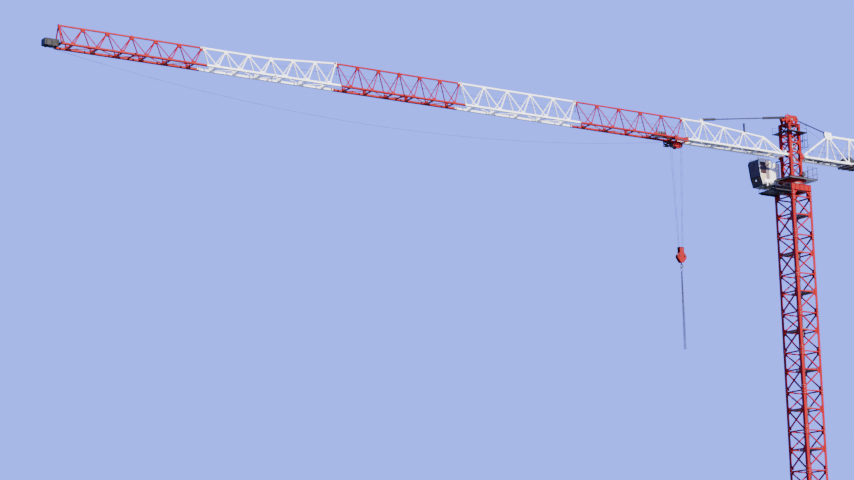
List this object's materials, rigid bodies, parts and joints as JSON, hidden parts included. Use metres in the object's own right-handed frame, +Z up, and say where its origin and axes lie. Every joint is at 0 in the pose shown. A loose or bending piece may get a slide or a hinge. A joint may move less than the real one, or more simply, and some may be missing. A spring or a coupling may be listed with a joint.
{
  "type": "tower crane, scale model at 1:2",
  "caption": "Tower crane with a square lattice mast, a short tower head, a triangular lattice jib with a trolley and hook block, and a counter-jib with a winch and ballast.",
  "frame": {"origin": "centre of the underside of the base cross, on the mast's axis", "axes": "+X out along the jib, +Z up the mast; the cab is on the -Y side"},
  "size_m": [38.88, 2.96, 21.4735],
  "materials": {
    "red_paint": "satin",
    "white_paint": "satin",
    "dark_paint": "matte",
    "galvanised": "matte",
    "dark_steel": "satin",
    "rope_steel": "satin",
    "chain_steel": "satin",
    "cab_glass": "gloss",
    "concrete": "matte"
  },
  "bodies": {
    "tower": {"base_frame": "red_paint", "mast_section_01": "red_paint", "mast_section_02": "red_paint", "mast_section_03": "red_paint", "mast_section_04": "red_paint", "mast_section_05": "red_paint", "mast_section_06": "red_paint", "mast_section_07": "red_paint", "mast_section_08": "red_paint", "mast_section_09": "red_paint", "mast_section_10": "red_paint", "mast_section_11": "red_paint", "mast_section_12": "red_paint", "mast_access": "galvanised", "mast_collar": "red_paint", "slewing_ring": "dark_steel"},
    "superstructure": {"turntable": "red_paint", "service_platform": "dark_paint", "tower_head": "red_paint", "head_platform": "dark_paint", "cab_body": "white_paint", "cab_windows": "cab_glass", "control_cabinet": "white_paint", "jib_section_1": "red_paint", "jib_section_2": "white_paint", "jib_section_3": "red_paint", "jib_section_4": "white_paint", "jib_section_5": "red_paint", "jib_section_6": "white_paint", "jib_nose": "dark_paint", "jib_tie": "dark_paint", "jib_walkway": "galvanised", "safety_line": "dark_paint", "trolley_winch": "red_paint", "fixed_ropes": "rope_steel", "counter_jib_front": "white_paint", "counter_jib_rear": "white_paint", "counter_jib_deck": "galvanised", "counter_jib_tie": "dark_paint", "hoist_winch": "red_paint", "ballast_blocks": "concrete", "hoist_rope": "rope_steel"},
    "trolley": {"trolley_frame": "red_paint"},
    "block": {"hook_block": "red_paint", "rope_falls": "rope_steel"},
    "hook_set": {"hook": "dark_steel", "chain_sling": "chain_steel", "sling_fittings": "dark_steel"}
  },
  "joints": [
    {"name": "slew", "type": "hinge", "parent": "tower", "child": "superstructure", "pos_m": [0, 0, 18.67525], "axis": [0, 0, 1], "continuous": true},
    {"name": "trolley_travel", "type": "slide", "parent": "superstructure", "child": "trolley", "axis": [1, 0, 0], "range_m": [-3.75, 23.95], "deforming": ["hoist_rope"]},
    {"name": "hoist", "type": "slide", "parent": "trolley", "child": "block", "axis": [0, 0, 1], "range_m": [-11.75, 3.4], "deforming": ["rope_falls"]},
    {"name": "hook_swivel", "type": "hinge", "parent": "block", "child": "hook_set", "pos_m": [5.75, 0, 15.1305], "axis": [0, 0, 1], "continuous": true}
  ]
}
